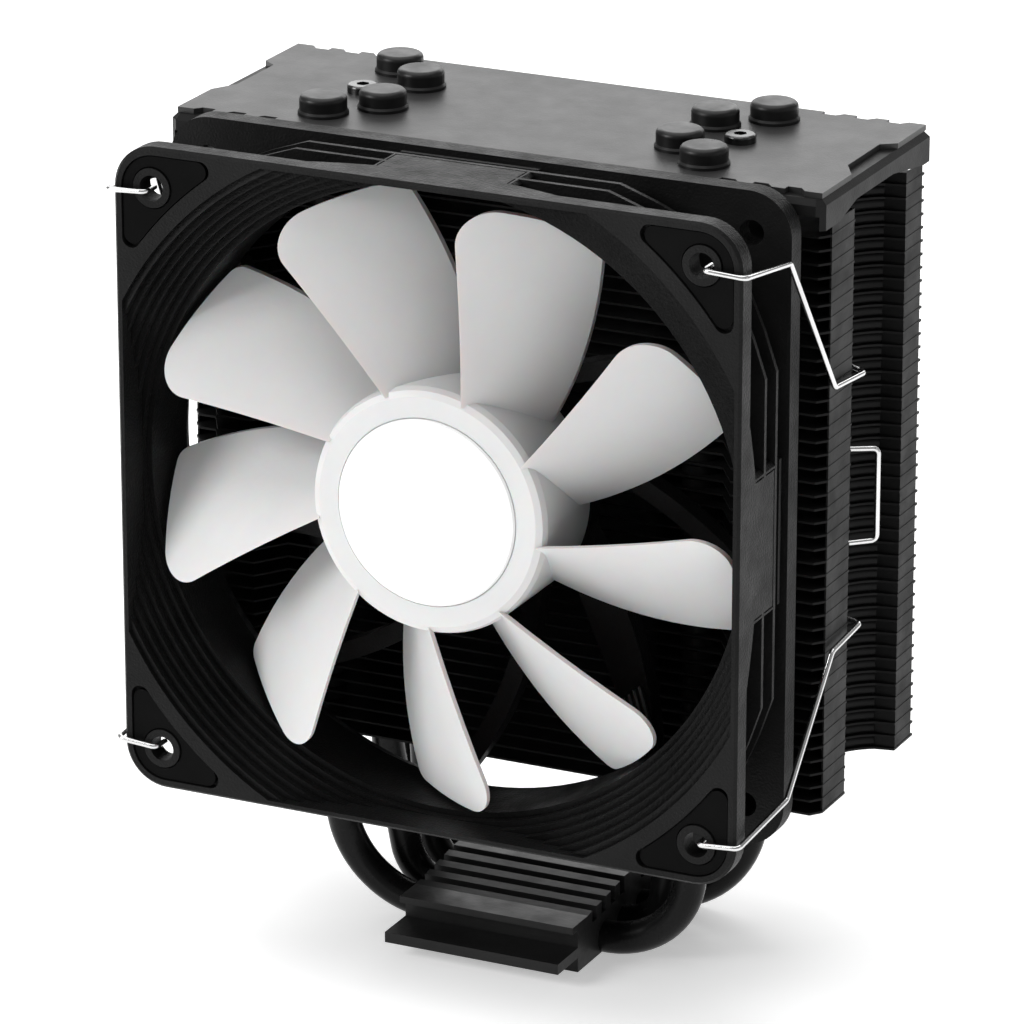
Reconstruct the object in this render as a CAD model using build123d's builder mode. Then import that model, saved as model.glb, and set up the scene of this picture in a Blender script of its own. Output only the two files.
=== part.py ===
from build123d import *
import os
from math import cos, radians, sin

# CPU tower cooler: a finned stack on four heat pipes, with a 120 mm fan held in front by two
# sprung wires.
# Millimetres. +Z is up and the fan blows along +Y, from the front of the cooler to its back.
# The origin is the centre of the face that sits on the processor.

# Fan
FAN = 120.0
FAN_DEPTH = 25.0
FAN_CORNER = 8.0
FLANGE = 4.0
FAN_FRONT = -51.0
FAN_HEIGHT = 93.8
HOLE_PITCH = 105.0
HOLE_R = 2.3
BOSS_R = 3.6
BORE_R = 57.5
FLARE_R = 66.5
FLARE_DEPTH = 8.0
FLARE_STEPS = 7
FLARE_RIDGE = 0.6
DUCT_R = 58.8
OUTLET_R = 59.5
OUTLET_DEPTH = 20.5
SIDE_WALL = 1.2
PAD_ARC = 69.3
PAD_FIELD = 117.0
PAD_RECESS = 1.4
PAD_T = 1.1
PAD_GAP = 0.25
PAD_TIP = 1.8
ARMS = 9
ARM_TURN = 43.4
ARM_W = 3.4
ARM_T = 4.0
LEAD_ARM_TURN = -36.6
LEAD_ARM_W = 6.4
CUP_R = 22.8
CUP_FLOOR = 2.4
LABEL_R = 18.0
LABEL_T = 0.3

# Rotor and motor
HUB_R = 22.6
HUB_WALL = 1.8
HUB_FRONT = 1.6
HUB_BACK = 20.5
BADGE_R = 17.1
TIP_R = 56.5
BLADES = 9
LEAD_TIP_ANGLE = 204.5
SHAFT_R = 1.5
SHAFT_CLEARANCE = 0.05
BEARING_R = 3.9
TUBE_R = 5.0
YOKE_R = 20.75
YOKE_T = 0.9
YOKE_BACK = 18.5
MAGNET_R = 19.8
MAGNET_BORE_R = 17.9
CORE_R = 17.3
CORE_FRONT = 8.0
CORE_BACK = 15.5
PRESS = 0.02

# Fin stack
FINS = 44
FIN_PITCH = 2.48
FIN_T = 0.4
FIN_BOTTOM = 36.8
FIN_HALF = 62.3
FIN_FRONT = -25.3
FIN_SET_BACK = -19.3
FIN_BACK = 24.1
TAB_T = 0.35
TAB_H = 2.02
TAB_SET = 0.08
TAB_END = 0.8
LIP_T = 1.2
LIP_ROUND = 0.8
COLLAR_T = 0.35
COLLAR_H = 1.6

# Heat pipes
PIPE_R = 3.0
PIPE_AXIS_Z = 2.7
PIPE_TOP = 154.7
LEG_TOP_BEND = 32.0

# Base
BASE_HALF = 17.4
BASE_Y = 23.7
BAR_Y = 32.2
BAR_LOW = 2.8
BAR_HIGH = 4.8
LIP_Y = 26.0
LIP_LOW = 8.2
LIP_HIGH = 9.5
CROWN = 11.3
RIDGE_PITCH = 4.0

# Cover
TRAY_BOTTOM = 146.1
TRAY_T = 0.9
TRAY_HALF = 63.3
TRAY_FRONT = -24.4
TRAY_BACK = 25.2
FOLD_Z = 150.6
SKIRT_H = 1.9
PLATE_T = 1.0
PLATE_TOP = 152.6
PLATE_HALF = 62.4
PLATE_FRONT = -22.7
CAP_R = 4.3
CAP_FOOT_R = 4.6
CAP_H = 3.6
SCREW_X = 37.0
SCREW_Y = 0.3

# Spring clips
WIRE_R = 0.5
CLIP_X = 53.2

FAN_AXIS = Axis((0, FAN_FRONT, FAN_HEIGHT), (0, 1, 0))
LEGS = ((37.0, 15.3), (29.0, 7.6))
LEG_PLACES = [(sx * x, sy * y) for x, y in LEGS for sx in (-1, 1) for sy in (-1, 1)]


def fan_plane(depth):
    """Plane across the fan, facing the front, this far behind the fan's front face."""
    return Plane(origin=(0, FAN_FRONT + depth, FAN_HEIGHT), x_dir=(1, 0, 0), z_dir=(0, -1, 0))


# Radius against depth, for what is turned about the fan's axis
AXIAL = Plane(origin=(0, FAN_FRONT, FAN_HEIGHT), x_dir=(1, 0, 0), z_dir=(0, 0, 1))


def polar(radius, angle):
    return (radius * cos(radians(angle)), radius * sin(radians(angle)))


def turned(outline):
    """Body turned about the fan's axis from (radius, depth) points."""
    with BuildPart() as body:
        with BuildSketch(AXIAL):
            with BuildLine():
                Polyline(*outline, close=True)
            make_face()
        revolve(axis=FAN_AXIS)
    return body.part


def corner_fields(depth, size, corner, arc, boss):
    """The four corners of a square outside a circle, each with a hole for the screw boss."""
    with BuildSketch(fan_plane(depth)) as field:
        RectangleRounded(size, size, corner)
        Circle(arc, mode=Mode.SUBTRACT)
        fillet(field.vertices().filter_by(lambda tip: abs(Vector(tip).length - arc) < 0.1), PAD_TIP)
        with GridLocations(HOLE_PITCH, HOLE_PITCH, 2, 2):
            Circle(boss, mode=Mode.SUBTRACT)
    return field.sketch


# ---------------------------------------------------------------- base block
# One aluminium extrusion. Grooves in its contact face take the pipes. A bar along the front
# and the back takes the mounting clip, and the crowned top is ridged to shed heat.
half = [
    (0, 0),
    (BASE_Y, 0),
    (BASE_Y, BAR_LOW),
    (BAR_Y, BAR_LOW),
    (BAR_Y, BAR_HIGH),
    (BASE_Y, BAR_HIGH),
    (BASE_Y, LIP_LOW),
    (LIP_Y, LIP_LOW),
    (LIP_Y, LIP_HIGH),
    (19.5, LIP_HIGH),
    (3.5, CROWN),
    (0, CROWN),
]
with BuildPart() as base_block:
    with BuildSketch(Plane.YZ):
        with BuildLine():
            Polyline(*half, close=True)
        make_face()
        mirror(about=Plane.YZ)
        for side in (-1, 1):
            for pipe_y in (4.0, 12.0):
                with Locations((side * pipe_y, PIPE_AXIS_Z)):
                    Circle(PIPE_R - PRESS, mode=Mode.SUBTRACT)
            for groove in range(4):
                with Locations((side * (4.6 + groove * RIDGE_PITCH), CROWN)):
                    Rectangle(1.9, 6.2 + groove * 0.5, mode=Mode.SUBTRACT)
    extrude(amount=BASE_HALF, both=True)

# ---------------------------------------------------------------- heat pipes
# Each pipe runs through the base, bends up on both sides and rises straight through the fins.
# Its underside is milled flush with the contact face.
with BuildPart() as below_contact:
    with BuildSketch(Plane.XY):
        Rectangle(80, 2 * BASE_Y)
    extrude(amount=-PIPE_R)


def heat_pipe(leg_x, leg_y, low_y, elbow_x, elbow_r):
    route = (
        (-leg_x, leg_y, PIPE_TOP),
        (-leg_x, leg_y, LEG_TOP_BEND),
        (-elbow_x, low_y, PIPE_AXIS_Z),
        (elbow_x, low_y, PIPE_AXIS_Z),
        (leg_x, leg_y, LEG_TOP_BEND),
        (leg_x, leg_y, PIPE_TOP),
    )
    with BuildPart() as pipe:
        with BuildLine() as centre:
            FilletPolyline(*route, radius=[25, elbow_r, elbow_r, 25])
        with BuildSketch(Plane(origin=route[0], z_dir=(0, 0, -1))):
            Circle(PIPE_R)
        sweep(path=centre.wires()[0])
        chamfer(pipe.faces().sort_by(Axis.Z)[-2:].edges(), 0.8)
        add(below_contact.part, mode=Mode.SUBTRACT)
    return pipe.part


with BuildPart() as pipe_front_outer:
    add(heat_pipe(37.0, -15.3, -12.0, 33.0, 17.5))
with BuildPart() as pipe_front_inner:
    add(heat_pipe(29.0, -7.6, -4.0, 25.5, 9.0))
with BuildPart() as pipe_rear_inner:
    add(heat_pipe(29.0, 7.6, 4.0, 25.5, 9.0))
with BuildPart() as pipe_rear_outer:
    add(heat_pipe(37.0, 15.3, 12.0, 33.0, 17.5))

# ---------------------------------------------------------------- fins
# Pressed sheets. Each side is folded up into a flat tab in front and a flat tab behind, which
# stand just short of the next sheet. Between them the sheet is cut back in an arc and its
# edge carries a rounded lip. Collars grip the pipes. The stack is pressed on in two halves.
RECESS = ((59.0, -5.8), (52.6, 4.4), (58.7, 14.7))
LIP = ((58.5, -6.8), (51.7, 4.4), (58.1, 15.6))
side_edge = [
    (43.0, FIN_SET_BACK),
    (47.0, FIN_FRONT),
    (54.0, FIN_FRONT),
    (57.2, -19.9),
    (60.7, -19.9),
    (FIN_HALF, -17.8),
    (FIN_HALF, -7.6),
]
with BuildPart() as recess_lip:
    with BuildSketch(Plane.XY.offset(FIN_BOTTOM + FIN_T)):
        with BuildLine():
            ThreePointArc(*LIP)
        trace(line_width=LIP_T)
    extrude(amount=TAB_H)
    long_edges = recess_lip.edges().filter_by(lambda edge: edge.length > 10)
    fillet(long_edges.group_by(SortBy.RADIUS)[0], LIP_ROUND)
with BuildPart() as fin_blank:
    with BuildSketch(Plane.XY.offset(FIN_BOTTOM)):
        with BuildLine():
            Polyline((0, FIN_SET_BACK), *side_edge, RECESS[0])
            ThreePointArc(*RECESS)
            Polyline(RECESS[2], (FIN_HALF, 15.5), (FIN_HALF, FIN_BACK), (0, FIN_BACK))
            Line((0, FIN_BACK), (0, FIN_SET_BACK))
        make_face()
        mirror(about=Plane.YZ)
    extrude(amount=FIN_T)
    with BuildSketch(Plane.XY.offset(FIN_BOTTOM + FIN_T)):
        wall_x = FIN_HALF - TAB_SET - TAB_T / 2
        with BuildLine():
            Polyline((wall_x, -17.6), (wall_x, -7.9), LIP[0])
        trace(line_width=TAB_T)
        with BuildLine():
            Polyline(LIP[2], (wall_x, 16.0), (wall_x, FIN_BACK - TAB_END))
        trace(line_width=TAB_T)
        mirror(about=Plane.YZ)
    extrude(amount=TAB_H)
    add(recess_lip.part)
    add(recess_lip.part.mirror(Plane.YZ))
    with BuildSketch(Plane.XY.offset(FIN_BOTTOM + FIN_T)):
        with Locations(*LEG_PLACES):
            Circle(PIPE_R + COLLAR_T)
    extrude(amount=COLLAR_H)
    with BuildSketch(Plane.XY.offset(FIN_BOTTOM)):
        with Locations(*LEG_PLACES):
            Circle(PIPE_R - PRESS)
    extrude(amount=FIN_PITCH, mode=Mode.SUBTRACT)


def fin_places(levels):
    return [(0, 0, level * FIN_PITCH) for level in levels]


with BuildPart() as lower_fins:
    with Locations(*fin_places(range(FINS // 2))):
        add(fin_blank.part)
with BuildPart() as upper_fins:
    with Locations(*fin_places(range(FINS // 2, FINS))):
        add(fin_blank.part)

# ---------------------------------------------------------------- top tray
# A folded tray turned over on the stack. Its rim slopes out from under the plate to the skirt.
# The skirt is short in front and behind. Each side comes down further and is cut away over
# the fins' hollow. Two posts under its sheet take the cover's screws.
TRAY_Y = (TRAY_FRONT + TRAY_BACK) / 2
TRAY_D = TRAY_BACK - TRAY_FRONT
SHEET_Z = PLATE_TOP - PLATE_T
SCREWS = ((-SCREW_X, SCREW_Y), (SCREW_X, SCREW_Y))
with BuildPart() as top_tray:
    with BuildSketch(Plane.XY.offset(FOLD_Z)) as tray_outline:
        with Locations((0, TRAY_Y)):
            Rectangle(2 * TRAY_HALF, TRAY_D)
        chamfer(tray_outline.vertices(), 1.4)
    extrude(amount=SHEET_Z - FOLD_Z, taper=45)
    extrude(tray_outline.sketch, amount=TRAY_BOTTOM - FOLD_Z)
    with BuildSketch(Plane.XY.offset(TRAY_BOTTOM)):
        with Locations((0, TRAY_Y)):
            Rectangle(2 * (TRAY_HALF - TRAY_T), TRAY_D - 2 * TRAY_T)
    extrude(amount=SHEET_Z - TRAY_T - TRAY_BOTTOM, mode=Mode.SUBTRACT)
    with BuildSketch(Plane.XY.offset(TRAY_BOTTOM)):
        with Locations((0, TRAY_Y)):
            Rectangle(2 * (TRAY_HALF - TRAY_T), TRAY_D)
    extrude(amount=FOLD_Z - SKIRT_H - TRAY_BOTTOM, mode=Mode.SUBTRACT)
    with BuildSketch(Plane.YZ):
        with BuildLine():
            Polyline(
                (-17.0, TRAY_BOTTOM),
                (-9.5, TRAY_BOTTOM + 2.1),
                (7.0, TRAY_BOTTOM + 2.1),
                (21.0, TRAY_BOTTOM),
                close=True,
            )
        make_face()
    extrude(amount=TRAY_HALF, both=True, mode=Mode.SUBTRACT)
    with BuildSketch(Plane.XY.offset(TRAY_BOTTOM)):
        with Locations(*SCREWS):
            Circle(3.2)
    extrude(amount=SHEET_Z - TRAY_BOTTOM)
    with BuildSketch(Plane.XY.offset(TRAY_BOTTOM)):
        with Locations(*SCREWS):
            Circle(1.5 - PRESS)
        with Locations(*LEG_PLACES):
            Circle(PIPE_R + 0.2)
    extrude(amount=SHEET_Z - TRAY_BOTTOM, mode=Mode.SUBTRACT)

# ---------------------------------------------------------------- top plate
# Flat cover with saw-tooth notches at both ends of its long edges and a stepped notch on
# each side, where the fins' hollow is.
PLATE_Y = (FIN_BACK + PLATE_FRONT) / 2
NOTCH_D = 2.7
TEETH = 3
TOOTH_X = 43.0
TOOTH_PITCH = 6.2
TOOTH_D = 1.4
with BuildPart() as top_plate:
    with BuildSketch(Plane.XY.offset(SHEET_Z)):
        with Locations((0, PLATE_Y)):
            Rectangle(2 * PLATE_HALF, FIN_BACK - PLATE_FRONT)
        for side in (-1, 1):
            with BuildLine():
                Polyline(
                    (side * PLATE_HALF, -9.9),
                    (side * (PLATE_HALF - NOTCH_D), -5.1),
                    (side * (PLATE_HALF - NOTCH_D), 9.1),
                    (side * PLATE_HALF, 11.1),
                    close=True,
                )
            make_face(mode=Mode.SUBTRACT)
            for edge, inward in ((PLATE_FRONT, 1), (FIN_BACK, -1)):
                for tooth in range(TEETH):
                    start = TOOTH_X + tooth * TOOTH_PITCH
                    with BuildLine():
                        Polyline(
                            (side * start, edge - inward),
                            (side * start, edge + inward * TOOTH_D),
                            (side * (start + 2.6), edge + inward * TOOTH_D),
                            (side * (start + 4.6), edge - inward),
                            close=True,
                        )
                    make_face(mode=Mode.SUBTRACT)
        with Locations(*LEG_PLACES):
            Circle(PIPE_R + 0.2, mode=Mode.SUBTRACT)
        with Locations(*SCREWS):
            Circle(1.7, mode=Mode.SUBTRACT)
    extrude(amount=PLATE_T)

# ---------------------------------------------------------------- pipe caps
# Soft caps pushed over the pipes' closed ends, standing on the plate.
with BuildPart() as cap_blank:
    with BuildSketch(Plane.XZ):
        with BuildLine():
            Polyline(
                (PIPE_R - PRESS, PLATE_TOP),
                (CAP_FOOT_R, PLATE_TOP),
                (CAP_FOOT_R, PLATE_TOP + 0.5),
                (CAP_R, PLATE_TOP + 0.9),
            )
            Line((CAP_R, PLATE_TOP + 0.9), (CAP_R, PLATE_TOP + CAP_H - 1.0))
            RadiusArc((CAP_R, PLATE_TOP + CAP_H - 1.0), (CAP_R - 1.0, PLATE_TOP + CAP_H), -1.0)
            Polyline(
                (CAP_R - 1.0, PLATE_TOP + CAP_H),
                (0, PLATE_TOP + CAP_H),
                (0, PIPE_TOP + 0.1),
                (PIPE_R - PRESS, PIPE_TOP + 0.1),
                (PIPE_R - PRESS, PLATE_TOP),
            )
        make_face()
    revolve(axis=Axis.Z)
with BuildPart() as pipe_caps:
    with Locations(*[(x, y, 0) for x, y in LEG_PLACES]):
        add(cap_blank.part)

# ---------------------------------------------------------------- cover screws
HEAD_R = 2.85
HEAD_H = 1.5
with BuildPart() as cover_screws:
    with BuildSketch(Plane.XY.offset(PLATE_TOP)):
        with Locations(*SCREWS):
            Circle(HEAD_R)
    extrude(amount=HEAD_H)
    fillet(cover_screws.edges().group_by(Axis.Z)[-1], 0.5)
    with BuildSketch(Plane.XY.offset(PLATE_TOP + HEAD_H)):
        with Locations(*SCREWS):
            RegularPolygon(1.25, 6)
    extrude(amount=-1.0, mode=Mode.SUBTRACT)
    with BuildSketch(Plane.XY.offset(PLATE_TOP)):
        with Locations(*SCREWS):
            Circle(1.5)
    extrude(amount=-5.0)

# ---------------------------------------------------------------- fan frame
# Moulded in one piece: two square flanges on a round duct, a stepped inlet flare in the
# corners, and nine curved arms behind that carry the motor cup. One arm is wider and
# carries the leads.
with BuildPart() as duct:
    add(
        turned(
            [
                (0, 0),
                (68.0, 0),
                (64.6, FLANGE),
                (DUCT_R, FLARE_DEPTH + 1.0),
                (DUCT_R, FAN_DEPTH),
                (0, FAN_DEPTH),
            ]
        )
    )
    with BuildSketch(fan_plane(FAN_DEPTH)):
        RectangleRounded(FAN, FAN, FAN_CORNER)
    extrude(amount=FAN_DEPTH, mode=Mode.INTERSECT)

step_r = (FLARE_R - BORE_R) / FLARE_STEPS
step_d = FLARE_DEPTH / FLARE_STEPS
flare_outline = [(0, -1.0), (FLARE_R, -1.0)]
for step in range(FLARE_STEPS):
    flare_outline.append((FLARE_R - step * step_r, (step + 0.3) * step_d + FLARE_RIDGE))
    flare_outline.append((FLARE_R - (step + 1) * step_r, (step + 0.5) * step_d))
flare_outline.append((BORE_R, FLARE_DEPTH))
flare_outline.append((0, FLARE_DEPTH))
with BuildPart() as flare:
    add(turned(flare_outline))
    with BuildSketch(fan_plane(FLARE_DEPTH)):
        Rectangle(FAN - 2 * SIDE_WALL, FAN - 2 * SIDE_WALL)
    extrude(amount=FLARE_DEPTH + 1.0, mode=Mode.INTERSECT)

# What stands on one side of the duct: a plaque, with ribs along the duct on both sides of it
PLAQUE_HALF = 13.8
RIB_FLAT = 30.0
RIB_TOP = FAN / 2 - 0.4
with BuildPart() as side_dress:
    with BuildSketch(Plane.XY.offset(FAN_HEIGHT + 50.0)):
        with Locations((0, FAN_FRONT + 11.45)):
            Rectangle(2 * PLAQUE_HALF, 11.1)
    extrude(amount=RIB_TOP - 50.0)
    chamfer(side_dress.faces().sort_by(Axis.Z)[-1].edges(), 0.7)
    with BuildSketch(Plane.XY.offset(FAN_HEIGHT + RIB_TOP)):
        with Locations((0, FAN_FRONT + 11.45)):
            Rectangle(2 * PLAQUE_HALF - 2.2, 8.9)
            Rectangle(2 * PLAQUE_HALF - 2.8, 8.3, mode=Mode.SUBTRACT)
    extrude(amount=-0.3, mode=Mode.SUBTRACT)
    for rib_depth, rib_width, reach, drop in (
        (11.6, 0.9, RIB_FLAT, 0.0),
        (16.4, 0.9, RIB_FLAT, 0.0),
        (14.0, 0.9, 18.0, 1.6),
    ):
        top = FAN_HEIGHT + RIB_TOP - drop
        with BuildSketch(Plane.XZ.offset(-(FAN_FRONT + rib_depth + rib_width / 2))):
            with BuildLine():
                Polyline(
                    (-reach - 16, FAN_HEIGHT + 36),
                    (-reach - 14, top - 5.4),
                    (-reach - 7, top - 2.4),
                    (-reach, top),
                    (reach, top),
                    (reach + 7, top - 2.4),
                    (reach + 14, top - 5.4),
                    (reach + 16, FAN_HEIGHT + 36),
                    close=True,
                )
            make_face()
        extrude(amount=rib_width)
    for rail_depth in (5.0, 19.2):
        with BuildSketch(Plane.XY.offset(FAN_HEIGHT + 50.0)):
            with Locations((0, FAN_FRONT + rail_depth)):
                Rectangle(2 * PLAQUE_HALF - 1, 0.9)
        extrude(amount=RIB_TOP - 50.4)

with BuildPart() as fan_frame:
    for back in (FLANGE, FAN_DEPTH):
        with BuildSketch(fan_plane(back)):
            RectangleRounded(FAN, FAN, FAN_CORNER)
        extrude(amount=FLANGE)
    add(duct.part)
    for quarter in range(4):
        add(side_dress.part.rotate(FAN_AXIS, 90 * quarter))
    chamfer(
        fan_frame.edges().filter_by(
            lambda edge: abs(edge.center().Y - FAN_FRONT) < 1e-3 and edge.length > 5
        ),
        0.5,
    )
    add(flare.part, mode=Mode.SUBTRACT)
    bore = [(BORE_R, -1), (BORE_R, OUTLET_DEPTH), (OUTLET_R, FAN_DEPTH), (OUTLET_R, 26)]
    add(turned([(0, -1), *bore, (0, 26)]), mode=Mode.SUBTRACT)
    for face, inwards in ((0, -PAD_RECESS), (FAN_DEPTH, PAD_RECESS)):
        extrude(
            corner_fields(face, PAD_FIELD, 6.5, PAD_ARC, BOSS_R),
            amount=inwards,
            mode=Mode.SUBTRACT,
        )
    with BuildSketch(fan_plane(FAN_DEPTH)):
        with BuildLine():
            for arm in range(ARMS):
                turn = ARM_TURN + arm * 360 / ARMS
                ThreePointArc(polar(21, turn + 19.5), polar(36, turn - 1), polar(58.6, turn - 18.5))
        trace(line_width=ARM_W)
    extrude(amount=ARM_T)
    with BuildSketch(fan_plane(FAN_DEPTH)):
        with BuildLine():
            Line(polar(21, LEAD_ARM_TURN + 14), polar(48.0, LEAD_ARM_TURN - 12.5))
        trace(line_width=LEAD_ARM_W)
    extrude(amount=ARM_T)
    add(
        turned(
            [
                (BEARING_R, FAN_DEPTH - CUP_FLOOR - 16.2),
                (TUBE_R, FAN_DEPTH - CUP_FLOOR - 16.2),
                (TUBE_R, FAN_DEPTH - CUP_FLOOR),
                (CUP_R - 1.4, FAN_DEPTH - CUP_FLOOR),
                (CUP_R - 1.4, HUB_BACK + 0.5),
                (CUP_R, HUB_BACK + 0.5),
                (CUP_R, FAN_DEPTH),
                (LABEL_R + 0.3, FAN_DEPTH),
                (LABEL_R + 0.3, FAN_DEPTH - LABEL_T - 0.1),
                (BEARING_R, FAN_DEPTH - LABEL_T - 0.1),
            ]
        )
    )
    add(
        turned([(0, 2), (BEARING_R, 2), (BEARING_R, FAN_DEPTH + 1), (0, FAN_DEPTH + 1)]),
        mode=Mode.SUBTRACT,
    )
    with BuildSketch(fan_plane(0)):
        with GridLocations(HOLE_PITCH, HOLE_PITCH, 2, 2):
            Circle(HOLE_R)
    extrude(amount=-FAN_DEPTH, mode=Mode.SUBTRACT)

# ---------------------------------------------------------------- corner pads
# Soft pads let into both flanges, so that nothing hard touches what the fan is held against.
pad_outline = (PAD_FIELD - 2 * PAD_GAP, 6.25, PAD_ARC + PAD_GAP, BOSS_R + PAD_GAP)
with BuildPart() as front_corner_pads:
    extrude(corner_fields(PAD_RECESS, *pad_outline), amount=PAD_T)
with BuildPart() as rear_corner_pads:
    extrude(corner_fields(FAN_DEPTH - PAD_RECESS, *pad_outline), amount=-PAD_T)

# ---------------------------------------------------------------- motor
BEARING_FRONT = 7.2
BEARING_BACK = 20.0
SHAFT_BACK = 21.6
SHAFT_FRONT = 4.9
with BuildPart() as sleeve_bearing:
    add(
        turned(
            [
                (SHAFT_R + SHAFT_CLEARANCE, BEARING_FRONT),
                (BEARING_R + PRESS, BEARING_FRONT),
                (BEARING_R + PRESS, BEARING_BACK),
                (SHAFT_R + SHAFT_CLEARANCE, BEARING_BACK),
            ]
        )
    )
with BuildPart() as shaft:
    add(
        turned(
            [
                (0, SHAFT_FRONT),
                (SHAFT_R, SHAFT_FRONT),
                (SHAFT_R, 20.4),
                (SHAFT_R - 0.4, 20.4),
                (SHAFT_R - 0.4, 20.9),
                (SHAFT_R, 20.9),
                (SHAFT_R, SHAFT_BACK - 0.3),
                (SHAFT_R - 0.3, SHAFT_BACK),
                (0, SHAFT_BACK),
            ]
        )
    )
with BuildPart() as shaft_retainer:
    with BuildSketch(fan_plane(20.85)):
        Circle(2.6)
        Circle(SHAFT_R - 0.4 - PRESS, mode=Mode.SUBTRACT)
        with Locations((2.0, 0)):
            Rectangle(2.0, 0.7, mode=Mode.SUBTRACT)
    extrude(amount=0.4)
with BuildPart() as bearing_plug:
    add(turned([(0, 22.4), (BEARING_R + PRESS, 22.4), (BEARING_R + PRESS, 24.4), (0, 24.4)]))
with BuildPart() as rear_label:
    with BuildSketch(fan_plane(FAN_DEPTH)):
        Circle(LABEL_R)
    extrude(amount=LABEL_T)
with BuildPart() as motor_board:
    add(turned([(TUBE_R + 0.3, 18.9), (19.4, 18.9), (19.4, 20.1), (TUBE_R + 0.3, 20.1)]))

# Four-pole core: a ring on the bearing tube, four arms and four wide shoes
POLE_W = 5.0
SHOE_IN = 15.2
with BuildPart() as stator_core:
    with BuildSketch(fan_plane(CORE_BACK)):
        Circle(CORE_R)
        Circle(SHOE_IN, mode=Mode.SUBTRACT)
        with PolarLocations(CORE_R, 4, start_angle=45):
            Rectangle(8.0, 3.0, mode=Mode.SUBTRACT)
        Rectangle(2 * SHOE_IN + 1, POLE_W)
        Rectangle(POLE_W, 2 * SHOE_IN + 1)
        Circle(8.2)
        Circle(TUBE_R + PRESS + 0.03, mode=Mode.SUBTRACT)
    extrude(amount=CORE_BACK - CORE_FRONT)
WIND_IN = 9.6
WIND_OUT = 14.4
with BuildPart() as insulator:
    with BuildSketch(fan_plane(CORE_BACK + 1.0)):
        with PolarLocations((WIND_IN + WIND_OUT) / 2, 4):
            Rectangle(WIND_OUT - WIND_IN + 0.9, POLE_W + 1.6)
    extrude(amount=CORE_BACK - CORE_FRONT + 2.0)
    with BuildSketch(fan_plane(CORE_BACK)):
        with PolarLocations((WIND_IN + WIND_OUT) / 2, 4):
            Rectangle(WIND_OUT - WIND_IN + 2.0, POLE_W)
    extrude(amount=CORE_BACK - CORE_FRONT, mode=Mode.SUBTRACT)
with BuildPart() as windings:
    with BuildSketch(fan_plane(CORE_BACK + 2.2)):
        with PolarLocations((WIND_IN + WIND_OUT) / 2, 4):
            Rectangle(WIND_OUT - WIND_IN - 0.2, POLE_W + 4.6)
    extrude(amount=CORE_BACK - CORE_FRONT + 4.4)
    fillet(
        windings.edges().filter_by(
            lambda edge: abs(edge.length - (WIND_OUT - WIND_IN - 0.2)) < 1e-3
        ),
        1.6,
    )
    with BuildSketch(fan_plane(CORE_BACK + 1.0)):
        with PolarLocations((WIND_IN + WIND_OUT) / 2, 4):
            Rectangle(WIND_OUT - WIND_IN + 2.0, POLE_W + 1.6)
    extrude(amount=CORE_BACK - CORE_FRONT + 2.0, mode=Mode.SUBTRACT)

# ---------------------------------------------------------------- rotor
YOKE_FRONT = HUB_FRONT + 2.2
with BuildPart() as rotor_yoke:
    add(
        turned(
            [
                (3.8, YOKE_FRONT),
                (YOKE_R, YOKE_FRONT),
                (YOKE_R, YOKE_BACK),
                (YOKE_R - YOKE_T, YOKE_BACK),
                (YOKE_R - YOKE_T, YOKE_FRONT + YOKE_T),
                (3.8, YOKE_FRONT + YOKE_T),
            ]
        )
    )
with BuildPart() as magnet_ring:
    add(turned([(MAGNET_BORE_R, 6.5), (MAGNET_R, 6.5), (MAGNET_R, 17.8), (MAGNET_BORE_R, 17.8)]))

# One blade: thin curved sections lofted outwards, then trimmed to the outline seen from the
# front. Both edges sweep forwards towards the tip.
SECTION_ANGLE = LEAD_TIP_ANGLE - 17.0


def blade_section(distance, lead, trail, lead_depth, trail_depth, thickness):
    """Section across a radial line: it runs beyond both edges of the finished blade."""
    angle = radians(SECTION_ANGLE)
    outward = (cos(angle), 0, sin(angle))
    place = Plane(
        origin=(distance * cos(angle), FAN_FRONT, FAN_HEIGHT + distance * sin(angle)),
        x_dir=(-sin(angle), 0, cos(angle)),
        z_dir=outward,
    )
    over = 0.18
    tangent, depth = lead - trail, lead_depth - trail_depth
    ends = (
        (lead + over * tangent, lead_depth + over * depth),
        (trail - over * tangent, trail_depth - over * depth),
    )
    middle = ((ends[0][0] + ends[1][0]) / 2 + 0.5, (ends[0][1] + ends[1][1]) / 2 - 1.3)
    edge = 0.45
    half_t = thickness / 2
    with BuildSketch(place) as section:
        with BuildLine():
            ThreePointArc(
                (ends[0][0], -ends[0][1] + edge),
                (middle[0], -middle[1] + half_t),
                (ends[1][0], -ends[1][1] + edge),
            )
            Line((ends[1][0], -ends[1][1] + edge), (ends[1][0], -ends[1][1] - edge))
            ThreePointArc(
                (ends[1][0], -ends[1][1] - edge),
                (middle[0], -middle[1] - half_t),
                (ends[0][0], -ends[0][1] - edge),
            )
            Line((ends[0][0], -ends[0][1] - edge), (ends[0][0], -ends[0][1] + edge))
        make_face()
    return section.sketch


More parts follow.
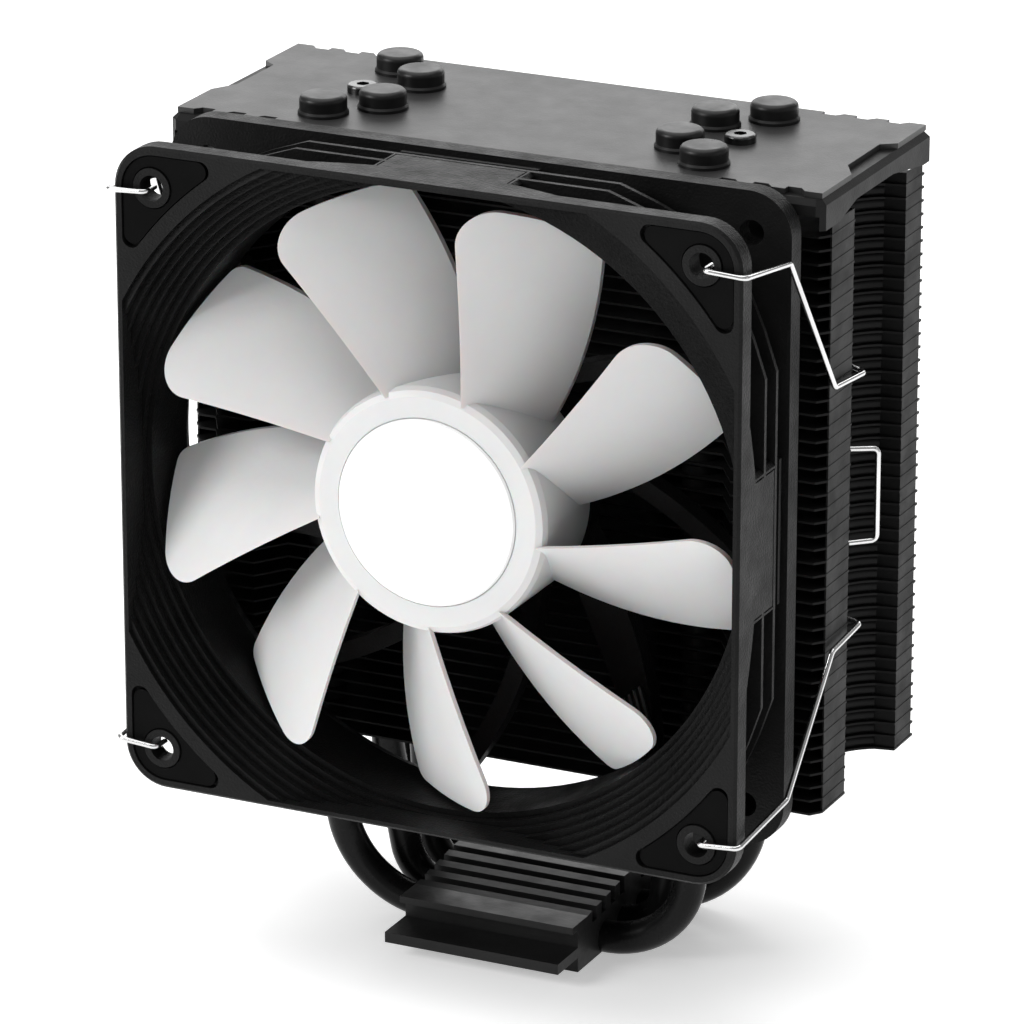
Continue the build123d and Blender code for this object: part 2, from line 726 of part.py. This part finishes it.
with BuildPart() as blade:
    loft(
        [
            blade_section(18.5, 0.2, -10.3, 2.4, 17.6, 2.2),
            blade_section(39.5, 9.4, -9.9, 1.9, 17.2, 1.7),
            blade_section(60.0, 20.0, -4.4, 1.9, 16.8, 1.4),
        ]
    )
    with BuildSketch(fan_plane(HUB_BACK)) as outline:
        tip = LEAD_TIP_ANGLE
        with BuildLine():
            ThreePointArc(polar(21.4, tip - 13.2), polar(40.8, tip - 3.7), polar(TIP_R, tip))
            ThreePointArc(polar(TIP_R, tip), polar(TIP_R, tip - 12), polar(TIP_R, tip - 23.1))
            ThreePointArc(polar(TIP_R, tip - 23.1), polar(40.8, tip - 31.4), polar(21.4, tip - 45.0))
            ThreePointArc(polar(21.4, tip - 45.0), polar(21.4, tip - 29), polar(21.4, tip - 13.2))
        make_face()
        fillet(outline.vertices().sort_by(Axis.X)[0], 2.5)
        fillet(outline.vertices().sort_by(Axis.Y)[0], 5.5)
    extrude(amount=HUB_BACK, mode=Mode.INTERSECT)

with BuildPart() as impeller:
    add(
        turned(
            [
                (0, HUB_FRONT + 0.4),
                (BADGE_R + 0.2, HUB_FRONT + 0.4),
                (BADGE_R + 0.2, HUB_FRONT),
                (HUB_R - 1.6, HUB_FRONT),
                (HUB_R - 0.5, HUB_FRONT + 0.5),
                (HUB_R, HUB_FRONT + 1.7),
                (HUB_R, HUB_BACK),
                (HUB_R - HUB_WALL, HUB_BACK),
                (HUB_R - HUB_WALL, HUB_FRONT + 2.1),
                (3.6, HUB_FRONT + 2.1),
                (3.6, 6.9),
                (0, 6.9),
            ]
        )
    )
    for number in range(BLADES):
        add(blade.part.rotate(FAN_AXIS, 360 / BLADES * number))
    add(
        turned([(0, SHAFT_FRONT), (SHAFT_R - PRESS, SHAFT_FRONT), (SHAFT_R - PRESS, 7), (0, 7)]),
        mode=Mode.SUBTRACT,
    )
with BuildPart() as hub_badge:
    add(
        turned(
            [
                (0, HUB_FRONT - 0.4),
                (BADGE_R - 0.3, HUB_FRONT - 0.4),
                (BADGE_R, HUB_FRONT - 0.1),
                (BADGE_R, HUB_FRONT + 0.4),
                (0, HUB_FRONT + 0.4),
            ]
        )
    )

# ---------------------------------------------------------------- wire clips
# One length of spring wire a side. Its ends turn into the fan's holes, it hooks round the
# back of the fins' front tabs, and its middle is bowed out for a finger to pull.
WIRE_END = 2.6
WIRE_FRONT = -0.9
WIRE_BEHIND = 46.6


def wire_clip(side):
    corners = (
        (CLIP_X, WIRE_END, 52.0),
        (CLIP_X, WIRE_FRONT, 52.0),
        (60.9, WIRE_FRONT, 51.6),
        (61.2, 17.6, 49.1),
        (63.3, 33.2, 22.6),
        (63.3, WIRE_BEHIND, 21.4),
        (59.3, WIRE_BEHIND, 22.6),
        (59.3, WIRE_BEHIND, 6.6),
        (64.5, 50.5, 6.3),
        (64.5, 50.5, -10.8),
        (59.3, WIRE_BEHIND, -11.1),
        (59.3, WIRE_BEHIND, -24.6),
        (63.3, WIRE_BEHIND, -25.4),
        (63.3, 34.0, -26.5),
        (61.2, 19.5, -49.7),
        (60.9, WIRE_FRONT, -51.4),
        (CLIP_X, WIRE_FRONT, -52.0),
        (CLIP_X, WIRE_END, -52.0),
    )
    points = [(side * x, FAN_FRONT + depth, FAN_HEIGHT + z) for x, depth, z in corners]
    with BuildPart() as wire:
        with BuildLine() as centre:
            FilletPolyline(*points, radius=[1.1] * (len(points) - 2))
        with BuildSketch(Plane(origin=points[0], z_dir=(0, -1, 0))):
            Circle(WIRE_R)
        sweep(path=centre.wires()[0])
    return wire.part


with BuildPart() as left_clip:
    add(wire_clip(-1))
with BuildPart() as right_clip:
    add(wire_clip(1))

# ---------------------------------------------------------------- export
os.makedirs("parts", exist_ok=True)
pieces = {
    "base_block": base_block,
    "pipe_front_outer": pipe_front_outer,
    "pipe_front_inner": pipe_front_inner,
    "pipe_rear_inner": pipe_rear_inner,
    "pipe_rear_outer": pipe_rear_outer,
    "lower_fins": lower_fins,
    "upper_fins": upper_fins,
    "top_tray": top_tray,
    "top_plate": top_plate,
    "pipe_caps": pipe_caps,
    "cover_screws": cover_screws,
    "fan_frame": fan_frame,
    "front_corner_pads": front_corner_pads,
    "rear_corner_pads": rear_corner_pads,
    "sleeve_bearing": sleeve_bearing,
    "bearing_plug": bearing_plug,
    "rear_label": rear_label,
    "motor_board": motor_board,
    "stator_core": stator_core,
    "insulator": insulator,
    "windings": windings,
    "impeller": impeller,
    "hub_badge": hub_badge,
    "rotor_yoke": rotor_yoke,
    "magnet_ring": magnet_ring,
    "shaft": shaft,
    "shaft_retainer": shaft_retainer,
    "left_clip": left_clip,
    "right_clip": right_clip,
}
for name, piece in pieces.items():
    piece.part.label = name
    export_step(piece.part, f"parts/{name}.step")
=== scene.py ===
import math

import bmesh
import bpy
from mathutils import Matrix, Vector


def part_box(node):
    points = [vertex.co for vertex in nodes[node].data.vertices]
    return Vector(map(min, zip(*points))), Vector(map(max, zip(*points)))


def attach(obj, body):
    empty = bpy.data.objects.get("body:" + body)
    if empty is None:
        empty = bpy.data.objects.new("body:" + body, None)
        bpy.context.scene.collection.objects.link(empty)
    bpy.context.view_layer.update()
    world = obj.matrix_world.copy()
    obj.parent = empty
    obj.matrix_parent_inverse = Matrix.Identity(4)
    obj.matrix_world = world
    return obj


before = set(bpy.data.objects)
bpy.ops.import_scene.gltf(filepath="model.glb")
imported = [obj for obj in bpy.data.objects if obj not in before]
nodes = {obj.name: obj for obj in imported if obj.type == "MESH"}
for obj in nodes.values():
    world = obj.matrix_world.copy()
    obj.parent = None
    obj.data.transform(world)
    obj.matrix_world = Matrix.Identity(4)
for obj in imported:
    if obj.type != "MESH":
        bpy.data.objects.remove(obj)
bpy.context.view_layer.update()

scene = bpy.context.scene

# ---------------------------------------------------------------- camera
# A long lens, a little above the fan's top edge and to the right of its axis. It looks down
# on the cover, across the fan's front and along the fins' right side.
CAMERA_DOWN = 19.51
CAMERA_TURN = 25.58

camera_data = bpy.data.cameras.new("camera")
camera_data.lens = 229.75
camera_data.sensor_width = 36.0
camera_data.clip_start = 0.05
camera_data.clip_end = 20.0
camera = bpy.data.objects.new("camera", camera_data)
scene.collection.objects.link(camera)
camera.location = (0.47604, -1.00943, 0.47359)
camera.rotation_euler = (math.radians(90 - CAMERA_DOWN), 0.0, math.radians(CAMERA_TURN))
scene.camera = camera

# ---------------------------------------------------------------- floor and light
# A sheet of pale, faintly glowing paper without an edge in view. One wide soft box overhead,
# one low behind whose sheen shows the cover and the caps, a key from the front left, and a
# weak fill on the fin side.
FLOOR_HALF = 6.0

scene.view_settings.view_transform = "Standard"
scene.view_settings.look = "None"

world = bpy.data.worlds.new("studio")
world.use_nodes = True
scene.world = world
sky = world.node_tree.nodes["Background"]
sky.inputs["Color"].default_value = (1.0, 1.0, 1.0, 1.0)
sky.inputs["Strength"].default_value = 0.30

bm = bmesh.new()
bmesh.ops.create_grid(bm, x_segments=1, y_segments=1, size=FLOOR_HALF)
floor_mesh = bpy.data.meshes.new("floor")
bm.to_mesh(floor_mesh)
bm.free()
floor = bpy.data.objects.new("floor", floor_mesh)
scene.collection.objects.link(floor)
floor_finish = bpy.data.materials.new("floor_paper")
floor_finish.use_nodes = True
floor_shader = floor_finish.node_tree.nodes["Principled BSDF"]
floor_shader.inputs["Base Color"].default_value = (0.93, 0.93, 0.93, 1.0)
floor_shader.inputs["Roughness"].default_value = 0.9
floor_shader.inputs["Specular IOR Level"].default_value = 0.1
floor_shader.inputs["Emission Color"].default_value = (1.0, 1.0, 1.0, 1.0)
floor_shader.inputs["Emission Strength"].default_value = 0.40
floor_mesh.materials.append(floor_finish)


def soft_light(name, place, target, width, height, power):
    """A rectangular soft box at place, facing target."""
    data = bpy.data.lights.new(name, "AREA")
    data.shape = "RECTANGLE"
    data.size = width
    data.size_y = height
    data.energy = power
    lamp = bpy.data.objects.new(name, data)
    lamp.location = place
    aim = Vector(target) - Vector(place)
    lamp.rotation_euler = aim.to_track_quat("-Z", "Y").to_euler()
    scene.collection.objects.link(lamp)


soft_light("overhead", (-0.3, 0.2, 2.4), (0.0, 0.1, 0.0), 3.0, 3.0, 50.0)
soft_light("behind", (-0.9, 2.4, 1.15), (0.0, 0.0, 0.10), 3.2, 1.5, 31.0)
soft_light("front_left", (-1.6, -1.6, 1.2), (0.0, -0.05, 0.09), 1.1, 1.0, 30.0)
soft_light("side_fill", (1.9, 0.2, 0.7), (0.0, 0.0, 0.08), 0.8, 0.8, 1.2)

# ---------------------------------------------------------------- heatsink: fins
# 44 pressed aluminium sheets with a thin satin black coat, threaded on the pipes. Their sides
# fold down into tabs that stand on the next sheet.
CLOUD_SCALE = 45.0
UNEVEN_SCALE = 160.0
GRAIN_STRENGTH = 0.6

# A Mix node's colour sockets come after its number and vector sockets.
MIX_DARK = 6
MIX_LIGHT = 7
MIX_RESULT = 2


def grey(level):
    return (level, level, level)


def new_finish(name, colour, roughness, metallic, specular):
    """A finish with one Principled shader, to which grain and bump are added."""
    finish = bpy.data.materials.new(name)
    finish.use_nodes = True
    shader = finish.node_tree.nodes["Principled BSDF"]
    shader.inputs["Base Color"].default_value = (*colour, 1.0)
    shader.inputs["Roughness"].default_value = roughness
    shader.inputs["Metallic"].default_value = metallic
    shader.inputs["Specular IOR Level"].default_value = specular
    return finish, finish.node_tree, shader


def noise(tree, place, scale, detail, roughness):
    """A cloudy pattern, with scale cycles in a metre."""
    node = tree.nodes.new("ShaderNodeTexNoise")
    node.inputs["Scale"].default_value = scale
    node.inputs["Detail"].default_value = detail
    node.inputs["Roughness"].default_value = roughness
    tree.links.new(place, node.inputs["Vector"])
    return node.outputs["Fac"]


def ranged(tree, value, low, high):
    """Stretches a pattern's middle range to low..high."""
    node = tree.nodes.new("ShaderNodeMapRange")
    node.inputs["From Min"].default_value = 0.3
    node.inputs["From Max"].default_value = 0.7
    node.inputs["To Min"].default_value = low
    node.inputs["To Max"].default_value = high
    tree.links.new(value, node.inputs["Value"])
    return node.outputs["Result"]


def shades(tree, value, dark, light):
    """Colour that runs from dark to light with a pattern."""
    node = tree.nodes.new("ShaderNodeMix")
    node.data_type = "RGBA"
    node.inputs[MIX_DARK].default_value = (*dark, 1.0)
    node.inputs[MIX_LIGHT].default_value = (*light, 1.0)
    tree.links.new(value, node.inputs["Factor"])
    return node.outputs[MIX_RESULT]


def bumped(tree, shader, value, distance):
    """Raises a pattern by distance."""
    node = tree.nodes.new("ShaderNodeBump")
    node.inputs["Strength"].default_value = GRAIN_STRENGTH
    node.inputs["Distance"].default_value = distance
    tree.links.new(value, node.inputs["Height"])
    tree.links.new(node.outputs["Normal"], shader.inputs["Normal"])


def grained(name, dark, light, roughness, spread, grain, depth, metallic=0.0, specular=0.5):
    """A finish with cloudy colour, uneven gloss and a fine grain of that many cycles a metre."""
    finish, tree, shader = new_finish(name, light, roughness, metallic, specular)
    place = tree.nodes.new("ShaderNodeTexCoord").outputs["Object"]
    cloud = ranged(tree, noise(tree, place, CLOUD_SCALE, 4.0, 0.6), 0.0, 1.0)
    tree.links.new(shades(tree, cloud, dark, light), shader.inputs["Base Color"])
    gloss = noise(tree, place, UNEVEN_SCALE, 3.0, 0.6)
    uneven = ranged(tree, gloss, roughness - spread, roughness + spread)
    tree.links.new(uneven, shader.inputs["Roughness"])
    bumped(tree, shader, noise(tree, place, grain, 2.0, 0.6), depth)
    return finish


def dress(finish, *names):
    """Puts a finish on CAD nodes."""
    for name in names:
        mesh = nodes[name].data
        mesh.materials.clear()
        mesh.materials.append(finish)


fin_coat = grained("fin_coat", grey(0.006), grey(0.012), 0.45, 0.08, 900.0, 0.00006, specular=0.09)
dress(fin_coat, "lower_fins", "upper_fins")

# ---------------------------------------------------------------- heatsink: cover
# A flat notched aluminium sheet with a fine satin coat. It is screwed down on a folded tray,
# whose own coat is duller and which closes the top of the stack.
cover_coat = grained("cover_coat", grey(0.022), grey(0.026), 0.42, 0.03, 2600.0, 0.00006, specular=0.42)
dress(cover_coat, "top_plate")
tray_coat = grained("tray_coat", grey(0.008), grey(0.012), 0.42, 0.05, 1800.0, 0.00006, specular=0.10)
dress(tray_coat, "top_tray")

# ---------------------------------------------------------------- heatsink: pipe caps and screws
# Eight smooth rubber caps pushed on the pipes' ends, and the two black socket-head
# screws that hold the cover.
cap_rubber = grained("cap_rubber", grey(0.005), grey(0.010), 0.38, 0.08, 700.0, 0.00004, specular=0.3)
dress(cap_rubber, "pipe_caps")
screw_steel = grained("screw_steel", grey(0.05), grey(0.12), 0.22, 0.06, 900.0, 0.00003, metallic=1.0)
dress(screw_steel, "cover_screws")

# ---------------------------------------------------------------- heatsink: pipes and base
# Four copper heat pipes under a smooth, glossy black plating, pressed into the fins and into
# the base. The base is an extruded aluminium block with cooling ridges, coated satin black.
pipe_coat = grained("pipe_coat", grey(0.004), grey(0.008), 0.28, 0.06, 800.0, 0.00003, specular=0.15)
dress(pipe_coat, "pipe_front_outer", "pipe_front_inner", "pipe_rear_inner", "pipe_rear_outer")
base_coat = grained("base_coat", grey(0.010), grey(0.018), 0.4, 0.08, 900.0, 0.00005, specular=0.2)
dress(base_coat, "base_block")

# ---------------------------------------------------------------- fan: frame and pads
# One moulding of black plastic with a spark-eroded grain. Smooth rubber pads are let into the
# corners of both flanges. A film label and a plug close the motor cup over its board.
frame_plastic = grained(
    "frame_plastic", grey(0.006), grey(0.011), 0.42, 0.10, 2200.0, 0.00026, specular=0.10
)
dress(frame_plastic, "fan_frame", "bearing_plug", "motor_board", "rear_label")
pad_rubber = grained("pad_rubber", grey(0.002), grey(0.004), 0.5, 0.05, 900.0, 0.00004, specular=0.04)
dress(pad_rubber, "front_corner_pads", "rear_corner_pads")

# ---------------------------------------------------------------- fan: leads
# Four thin insulated wires that come out of the wide arm's end, spread a little apart, and lie
# on the next stretch of the frame's arm until they reach the duct.
LEADS = 4
LEAD_R = 0.0005
LEAD_DEPTH = -0.0306
LEAD_IN_R = 0.0465
LEAD_IN_ANGLE = -51.0
LEAD_IN_STEP = 1.65
LEAD_OUT_R = 0.0576
LEAD_OUT_ANGLE = -55.6
LEAD_OUT_STEP = 1.3
LEAD_SIDES = 12

frame_low, frame_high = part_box("fan_frame")
fan_height = (frame_low[2] + frame_high[2]) / 2


def on_arm(radius, angle):
    """A point at the leads' depth, by its distance from the fan's axis and its angle."""
    turn = math.radians(angle)
    return Vector((radius * math.cos(turn), LEAD_DEPTH, fan_height + radius * math.sin(turn)))


lead_insulation = grained(
    "lead_insulation", grey(0.010), grey(0.018), 0.4, 0.06, 900.0, 0.00003, specular=0.3
)
bm = bmesh.new()
for lane in range(LEADS):
    start = on_arm(LEAD_IN_R, LEAD_IN_ANGLE + LEAD_IN_STEP * lane)
    end = on_arm(LEAD_OUT_R, LEAD_OUT_ANGLE + LEAD_OUT_STEP * lane)
    along = end - start
    middle = Matrix.Translation((start + end) / 2)
    bmesh.ops.create_cone(
        bm,
        cap_ends=True,
        segments=LEAD_SIDES,
        radius1=LEAD_R,
        radius2=LEAD_R,
        depth=along.length,
        matrix=middle @ along.to_track_quat("Z", "Y").to_matrix().to_4x4(),
    )
for face in bm.faces:
    face.smooth = len(face.verts) == 4
leads_mesh = bpy.data.meshes.new("fan_leads")
bm.to_mesh(leads_mesh)
bm.free()
leads_mesh.materials.append(lead_insulation)
fan_leads = bpy.data.objects.new("fan_leads", leads_mesh)
scene.collection.objects.link(fan_leads)
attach(fan_leads, "fan")

# ---------------------------------------------------------------- fan: rotor
# The hub and its nine blades are one moulding of white plastic that lets a little light into
# itself. A smooth plain disc covers the middle of the hub.
white_plastic = grained("white_plastic", grey(0.68), grey(0.72), 0.42, 0.05, 700.0, 0.00003, specular=0.35)
white_shader = white_plastic.node_tree.nodes["Principled BSDF"]
white_shader.inputs["Subsurface Weight"].default_value = 0.3
white_shader.inputs["Subsurface Scale"].default_value = 0.002
dress(white_plastic, "impeller")
badge_plastic = grained("badge_plastic", grey(0.90), grey(0.91), 0.35, 0.03, 500.0, 0.00001)
dress(badge_plastic, "hub_badge")

# ---------------------------------------------------------------- fan: motor
# Plated steel yoke, laminated core, ground shaft and its sleeve bearing, a dark bonded magnet,
# natural nylon bobbins and enamelled copper coils, all hidden in the hub.
motor_steel = grained("motor_steel", (0.35, 0.35, 0.36), grey(0.5), 0.35, 0.08, 900.0, 0.00003, metallic=1.0)
dress(motor_steel, "rotor_yoke", "stator_core", "shaft", "sleeve_bearing")
dress(pad_rubber, "magnet_ring", "shaft_retainer")
nylon = grained("nylon", (0.6, 0.6, 0.56), (0.7, 0.69, 0.65), 0.4, 0.05, 700.0, 0.00003)
dress(nylon, "insulator")
winding_enamel = grained(
    "winding_enamel", (0.4, 0.14, 0.06), (0.55, 0.22, 0.1), 0.3, 0.06, 2500.0, 0.0001, metallic=0.8
)
dress(winding_enamel, "windings")

# ---------------------------------------------------------------- clips
# One length of polished spring wire a side. Its ends turn into the fan's holes, and it hooks
# behind the fins' front tabs.
clip_steel = grained("clip_steel", grey(0.6), grey(0.75), 0.16, 0.05, 900.0, 0.00002, metallic=1.0)
dress(clip_steel, "left_clip", "right_clip")
